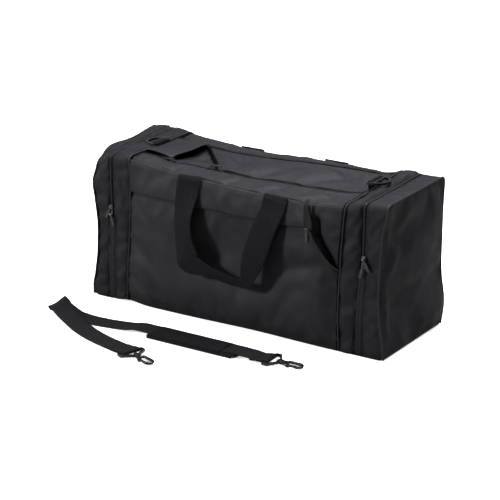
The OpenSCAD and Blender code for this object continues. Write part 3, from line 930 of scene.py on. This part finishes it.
def main_zips():
    """Zip in front of the lid and the short stretch beside its right end."""
    for part, low, high, body in (("front", -0.0130, -0.0055, "bag"), ("lid", -0.0045, 0.0035, "lid")):
        start = -SEAM_X + 0.004 if part == "front" else -0.098
        x, back = net(spaced(start, LID_RIGHT, 0.010), np.linspace(low, high, 4))
        points = sag(on_top(x, lid_line(x, -LID_HALF + back), -0.0016))
        made = grid(f"main_zip_{part}_tape", points, OUT_UP)
        thicken(made, TAPE_T)
        piece(made, tape_and_shade_cloth, body)
    x = spaced(-SEAM_X + 0.004, LID_RIGHT, 0.006)
    centre = sag(on_top(x, lid_line(x, -LID_HALF - 0.0050), -0.0010))
    coil("main_zip_coil", centre, ALONG_Y, "bag", ["main_zip"])
    y = spaced(lid_line(LID_RIGHT, -LID_HALF), lid_line(LID_RIGHT, LID_HALF), 0.006)
    centre = sag(on_top(LID_RIGHT + 0.0030 + 0 * y, y, -0.0008))
    coil("main_zip_end_coil", centre, ALONG_X, "bag")
    x = spaced(-SEAM_X + 0.008, LID_RIGHT, 0.006)
    row = sag(on_top(x, lid_line(x, -LID_HALF - 0.0150), 0.0018))
    stitches("main_zip_stitches", row, OUT_UP, "bag")
    row = sag(on_top(x, lid_line(x, LID_HALF + 0.0060), 0.0018))
    stitches("lid_seam_stitches", row, OUT_UP, "bag")
    # piping in the dark tape cloth: its darkness is painted shade that stands for the groove along the lid's
    # rear seam
    path = sag(on_top(x, lid_line(x, LID_HALF + 0.0026), -0.0014))
    made = swept("lid_seam_piping", path, ALONG_Y, tube_profile(0.0021, 6))
    piece(made, tape_and_shade_cloth, "bag")


def pocket_zip():
    """Closed stretch of the front pocket's zip."""
    x = spaced(-SEAM_X + 0.004, POCKET_X, 0.006)
    z = level(x, pocket_line(x))
    centre = sag(arch(x, z, pocket_out(x) - 0.0034))
    coil("front_pocket_zip", centre, ALONG_Z, "bag", ["front_pocket_zip"])
    tape_x, rise = net(x, np.linspace(-0.0060, 0.0060, 5))
    points = sag(arch(tape_x, level(tape_x, pocket_line(tape_x) + rise), pocket_out(tape_x) - 0.0044))
    made = grid("front_pocket_tape", points, OUT_FRONT)
    thicken(made, TAPE_T)
    piece(made, tape_and_shade_cloth, "bag")
    for name, rise in (("upper", 0.0065), ("lower", -0.0065)):
        row = sag(arch(x, level(x, pocket_line(x) + rise), pocket_out(x) + 0.0010))
        stitches(f"front_pocket_{name}_stitches", row, OUT_FRONT, "bag")


def open_tapes():
    """Zip tapes along both edges of the open pocket corner."""
    z = spaced(0.262, 0.318, 0.004)
    f = ease((0.318 - z) / 0.056)
    path = sag(arch(0.1885 + 0.0085 * f, level(0.19 + 0 * z, z), 0.0105 + 0.001 * f))
    made = swept("open_band_tape", path, (1.0, 0.25, 0), strip_profile(0.020, OPEN_TAPE_T), 0.5 + 0.5 * f)
    piece(made, open_tape, "bag")
    x = spaced(POCKET_X + 0.006, 0.272, 0.004)
    out = pocket_out(x) + 0.0015 + 0.0055 * ease((0.272 - x) / 0.015)
    path = refine(sag(arch(x, level(x, drop_line(x) + 0.002), out)), 0.003)
    made = swept("open_pocket_tape", path, (0.6, -0.3, 1.0), strip_profile(0.0075, OPEN_TAPE_T))
    piece(made, open_tape, "bag")


def pipings():
    """Pipings and stitches along the body seams and the end panels' edges, with a dark strip beside each
    body seam as painted shade on the panel side.
    """
    s = spaced(0.0, S_END, 0.006)
    for side, name in SIDES:
        for part, x, out, lowest, radius, material, body in (
            ("body_piping", SEAM_X + 0.0015, 0.0010, 0.0022, 0.0021, piping_cloth, "bag"),
            # dark strip beside the body piping: painted shade of the seam's groove on the panel side
            ("seam_shade_strip", SEAM_X - 0.0024, 0.0007, 0.0018, 0.0017, tape_and_shade_cloth, "bag"),
            ("end_piping", END_X, 0.0004, 0.0032, 0.0022, piping_cloth, f"{name}_cover"),
        ):
            path = round_bag(side * x, s, out, lowest)
            made = swept(f"{name}_{part}", path, ALONG_X, tube_profile(radius))
            piece(made, material, body)
            if part == "end_piping":
                lie_flat(made)
        for part, away in (("inner", -0.0055), ("outer", 0.0065)):
            row = round_bag(side * (SEAM_X + away), s, 0.0013, 0.003)
            stitches(f"{name}_body_{part}_stitches", row, skin_at, "bag")


# -- webbing
HANDLE_W = 0.060
WEB_T = 0.0022
HANDLE_X = 0.110
HANDLE_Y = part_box("rear_handle_tabs")[1].y + 0.002
HANDLE_Z = 0.312
# Handle stations in mm: outer edge x, its drop, inner edge x, its drop, distance out from the tab, twist
HANDLE = np.array([
    (-140, 0, -80, 0, 0, 0), (-141, 20, -82, 20, 5, 1), (-141, 45, -85, 45, 13, 5),
    (-139, 75, -86, 75, 22, 9), (-134, 105, -82, 105, 29, 9), (-128, 132, -73, 132, 34, 7),
    (-122, 152, -63, 149, 37, 3), (-119, 163, -58, 161, 38, 0), (-104, 174, -54, 164, 38, 0),
    (-80, 180, -44, 166, 38, 0), (-52, 185, -30, 169, 38, 0), (-22, 190, -16, 171, 38, 0),
    (6, 196, 6, 176, 38, 0), (30, 198, 26, 180, 38, 0), (52, 196, 38, 182, 38, 0),
    (70, 190, 44, 181, 38, 0), (78, 181, 45, 178, 38, 0), (88, 162, 45, 162, 37, 0),
    (98, 144, 46, 146, 36, 0), (105, 128, 48, 129, 34, 0), (113, 102, 55, 102, 29, 0),
    (120, 72, 62, 72, 22, 0), (129, 42, 72, 42, 13, 0), (136, 20, 78, 20, 5, 0),
    (140, 0, 80, 0, 0, 0),
]) / 1000


def handles():
    """Webbing loops with the tabs that they hang from."""
    for side, name in ((-1, "front"), (1, "rear")):
        outer_x, outer_drop, inner_x, inner_drop, out, twist = HANDLE.T
        outer = np.stack([outer_x, side * (HANDLE_Y + out - twist), HANDLE_Z - outer_drop], -1)
        inner = np.stack([inner_x, side * (HANDLE_Y + out + twist), HANDLE_Z - inner_drop], -1)
        stations = refine(np.hstack([(outer + inner) / 2, inner - outer]), 0.005)
        path, across = stations[:, :3], stations[:, 3:]
        width = np.linalg.norm(across, axis=1) / HANDLE_W
        made = swept(f"{name}_handle", path, across, strip_profile(HANDLE_W, WEB_T), width)
        piece(made, webbing, f"{name}_handle")
        for k, x in enumerate((-HANDLE_X, HANDLE_X)):
            z = spaced(HANDLE_Z - 0.002, 0.337, 0.003)
            s = z if side < 0 else S_END - z
            path = sag(arch(x + 0 * s, s, 0.0050 - 0.0012 * ease((z - 0.322) / 0.015)))
            made = swept(f"{name}_handle_tab_{k}", path, ALONG_X, strip_profile(HANDLE_W, WEB_T))
            piece(made, webbing, "bag", [f"{name}_handle_tabs"])


RING_TAB_W = 0.048
RING_TAB_T = 0.0016
RING_TAB_R = 0.0036


def ring_tabs():
    """Webbing that comes out of the body seam, round the ring's bar and back in."""
    for side, name in SIDES:
        low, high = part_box(f"{name}_d_ring")
        bar_x = side * SEAM_X
        bar_z = (low.z + high.z) / 2
        turn = np.linspace(-0.75 * math.pi, 0.75 * math.pi, 19)
        loop = [(bar_x + RING_TAB_R * math.sin(a), bar_z + RING_TAB_R * math.cos(a)) for a in turn]
        loop = [(bar_x - 0.0012, bar_z - 0.014)] + loop + [(bar_x + 0.0012, bar_z - 0.014)]
        path = refine([(x, 0, z) for x, z in loop], 0.0012)
        made = swept(f"{name}_ring_tab", path, ALONG_Y, strip_profile(RING_TAB_W, RING_TAB_T))
        piece(made, webbing, "bag")


# -- shoulder strap
# Route from the left hook's bar to the right's: x, y and z in mm, angle of the cross direction, tilt
STRAP = np.array([
    (-101.3, -372.8, 4.5, 70, 0), (-112, -369, 3.4, 70, 0), (-130, -363, 1.5, 71, 0),
    (-165, -354, 1.5, 73, 0), (-213, -340, 1.6, 71, 0), (-262, -320, 2.4, 66, 0),
    (-305, -297, 4.8, 62, 1), (-340, -277, 8, 61, 4), (-366, -260.5, 11.5, 66, 10),
    (-386, -248.5, 14.8, 74, 17), (-393.5, -244.5, 14.8, 77, 20), (-397, -243, 12.2, 78, 21),
    (-394, -243, 9.4, 78, 19), (-383, -245, 7.4, 77, 13), (-362, -251, 4.2, 77, 6),
    (-325, -261, 1.6, 79, 0), (-285, -265, 1.5, 84, 0), (-250, -263, 1.5, 92, 0),
    (-215, -258, 1.8, 97, 0), (-185, -254.5, 3.5, 95, 0), (-168, -252.5, 6.5, 92, 0),
    (-155, -252, 7.8, 90, 0), (128, -252, 7.8, 90, 0), (140, -252, 6.4, 90, 0),
    (153, -251, 4.9, 88, 0), (168.6, -250, 4.5, 90, 0),
])
STRAP[:, :3] /= 1000
STRAP_W = 0.048
STRAP_T = 0.0020
LOOP_T = 0.0018
LOOP_R = 0.0037


def shoulder_strap():
    x, y, z, turn, tilt = STRAP.T
    turn, tilt = np.radians(turn), np.radians(tilt)
    across = [np.cos(turn) * np.cos(tilt), np.sin(turn) * np.cos(tilt), np.sin(tilt)]
    stations = refine(np.stack([x, y, z, *across], -1), 0.004)
    stations[:, 2] = np.maximum(stations[:, 2], 0.0013)
    made = swept("shoulder_strap", stations[:, :3], stations[:, 3:], strip_profile(STRAP_W, STRAP_T))
    piece(made, webbing, "strap")


def strap_loops():
    """Webbing sewn round the bar of each hook's frame, doubled back on top of the strap."""
    for name, end, back in (("left", STRAP[0], STRAP[2]), ("right", STRAP[-1], STRAP[-4])):
        heading = end[:3] - back[:3]
        heading[2] = 0
        heading /= np.linalg.norm(heading)
        bar = end[:3] + heading * 0.0034
        side = np.array([-heading[1], heading[0], 0])
        turn = np.linspace(-0.80 * math.pi, 0.42 * math.pi, 16)
        ahead = [(LOOP_R * math.cos(a), LOOP_R * math.sin(a)) for a in turn]
        ahead += [(-0.008, 0.0030), (-0.018, 0.0012), (-0.030, -0.0008), (-0.038, -0.0010)]
        path = refine([bar + heading * d + np.array([0, 0, z]) for d, z in ahead], 0.0015)
        made = swept(f"strap_{name}_loop", path, side, strip_profile(STRAP_W, LOOP_T))
        piece(made, webbing, "strap")


def shoulder_pad():
    """Foam pad in woven cloth with a sleeve on top that the webbing runs through."""
    low, high = (np.array(corner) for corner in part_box("shoulder_pad"))
    middle, half = (low + high) / 2, (high - low) / 2
    f, g = net(np.linspace(-1, 1, 60), np.linspace(-1, 1, 19))
    x = f * half[0]
    over = np.clip((np.abs(x) - (half[0] - PAD_CORNER)) / PAD_CORNER, 0, 1)
    y = g * (half[1] - PAD_CORNER + PAD_CORNER * np.sqrt(np.clip(1 - over ** 2, 0, 1)))
    edge = np.minimum((half[0] - np.abs(x)) / 0.010, (half[1] * (1 - np.abs(g))) / 0.010)
    crown = np.sqrt(np.clip(1 - (1 - np.clip(edge, 0, 1)) ** 2, 0, 1))
    top = low[2] + 0.0024 + 0.0042 * crown
    bottom = low[2] + 0.0024 - 0.0022 * crown
    upper = np.stack([middle[0] + x, middle[1] + y, top], -1)
    lower = np.stack([middle[0] + x, middle[1] + y, bottom], -1)
    rows, columns = upper.shape[:2]
    faces = [face[::-1] for face in grid_faces(rows, columns)]
    under = [tuple(rows * columns + k for k in face[::-1]) for face in faces]
    points = np.vstack([upper.reshape(-1, 3), lower.reshape(-1, 3)])
    uv = np.tile(np.stack([x, y], -1).reshape(-1, 2), (2, 1))
    made = mesh_object("shoulder_pad", points, faces + under, uv)
    weld = made.modifiers.new("weld", "WELD")
    weld.merge_threshold = 0.0006
    smoothen(made)
    piece(made, pad_cloth, "pad")
    start, end = low[0] + 0.013, high[0] - 0.041
    x = (start + end) / 2 - middle[0] + f * (end - start) / 2
    y = g * (half[1] - 0.004)
    arc = np.clip(1 - np.abs(g) ** 5, 0, 1)
    wave = 0.0006 * np.sin(x * 90) * np.sin(g * 4)
    z = low[2] + 0.0058 + (high[2] - low[2] - 0.0058) * arc + wave * arc
    points = np.stack([middle[0] + x, middle[1] + y, z], -1)
    cover = grid("shoulder_pad_cover", points, OUT_UP)
    thicken(cover, PAD_CLOTH_T)
    piece(cover, pad_cloth, "pad")
    x = middle[0] + spaced(-0.92 * half[0], 0.92 * half[0], 0.006)
    for way, name in ((-1, "front"), (1, "rear")):
        y = middle[1] + way * (half[1] - 0.0006)
        path = np.stack([x, 0 * x + y, 0 * x + low[2] + 0.0022], -1)
        made = swept(f"pad_binding_{name}", path, ALONG_Y, tube_profile(0.0016))
        piece(made, pad_cloth, "pad")


# -- hard pieces that keep their CAD shape
def hard_pieces():
    """Gives the fittings their materials and slightly worn edges."""
    for name, made in node_objects.items():
        if name.endswith(("_d_ring", "_hook_frame", "_snap_hook", "_hook_gate")):
            finish, slot, width = gloss_plastic, "hardware", 0.0009
        elif name.endswith("_slider"):
            finish, slot, width = plated_metal, "slider_metal", 0.0004
        elif name.endswith("_puller"):
            finish, slot, width = puller_plastic, "puller", 0.0004
        elif name == "base_board":
            finish, slot, width = board_plastic, "board", 0.0008
        else:
            continue
        made.data.materials.clear()
        made.data.materials.append(finish)
        edges = made.modifiers.new("worn_edges", "BEVEL")
        edges.width = width
        edges.segments = 2
        edges.limit_method = "ANGLE"
        edges.angle_limit = math.radians(35)
        edges.harden_normals = False


for make in (
    base_panel, front_panel, rear_panel, top_strips, dividers, left_flap, mouth_facing, lid_panel, gussets,
    end_panels, front_band, pocket_panel, settle_all, dress_all, end_zips, main_zips, pocket_zip, open_tapes,
    lid_edge_tape, pipings, handles, ring_tabs, shoulder_strap, strap_loops, shoulder_pad, hard_pieces,
):
    make()


# ---------------------------------------------------------------- floor, light and camera
def floor():
    """Pale ground that the camera sees as white and that lights the bag less."""
    x, y = net(np.linspace(-4, 4, 9), np.linspace(-4, 4, 9))
    made = grid("floor", np.stack([x, y, 0 * x - 0.0006], -1), OUT_UP)
    look = Look("floor", (0.9, 0.9, 0.9), 0.8, 0.2)
    seen = look.node("LightPath")["Is Camera Ray"]
    look.give("Base Color", look.tinted(seen, (0.28, 0.28, 0.28), (0.95, 0.95, 0.95)))
    look.give("Emission Color", (1, 1, 1, 1))
    look.give("Emission Strength", look.between(seen, 0, 0.6))
    made.data.materials.append(look.material)


def aimed(name, data, place, target):
    """Lamp or camera at a place, looking at its target."""
    made = bpy.data.objects.new(name, data)
    scene.collection.objects.link(made)
    made.location = place
    made.rotation_mode = "QUATERNION"
    made.rotation_quaternion = (Vector(target) - Vector(place)).to_track_quat("-Z", "Y")
    return made


def area_light(name, place, target, size, power):
    lamp = bpy.data.lights.new(name, "AREA")
    lamp.shape = "DISK"
    lamp.size = size
    lamp.energy = power
    aimed(name, lamp, place, target)


def studio():
    """Pale surroundings, dimmer to the right, with a lamp at the front left, one overhead and a weak one
    at the right."""
    world = bpy.data.worlds.new("studio")
    scene.world = world
    world.use_nodes = True
    nodes, links = world.node_tree.nodes, world.node_tree.links
    where = nodes.new("ShaderNodeTexCoord")
    split = nodes.new("ShaderNodeSeparateXYZ")
    links.new(where.outputs["Generated"], split.inputs["Vector"])
    dimmer = nodes.new("ShaderNodeMapRange")
    for name, value in (("From Min", -1), ("From Max", 1), ("To Min", 0.26), ("To Max", 0.16)):
        dimmer.inputs[name].default_value = value
    links.new(split.outputs["X"], dimmer.inputs["Value"])
    links.new(dimmer.outputs["Result"], nodes["Background"].inputs["Strength"])
    nodes["Background"].inputs["Color"].default_value = (1, 1, 1, 1)
    area_light("key", (-5.0, -4.6, 2.5), (0, 0, 0.15), 1.2, 600)
    area_light("overhead", (0.3, 0.4, 3.0), (0.2, 0.0, 0), 2.0, 240)
    area_light("side", (4.0, 0.6, 1.6), (0.3, 0.0, 0.15), 1.6, 25)
    scene.view_settings.view_transform = "Standard"


def camera():
    place, target = (1.982, -3.1775, 1.4446), (-0.0364, 0, 0.133)
    made = aimed("camera", bpy.data.cameras.new("camera"), place, target)
    made.data.lens = 128.5
    made.data.sensor_width = 36
    scene.camera = made


floor()
studio()
camera()
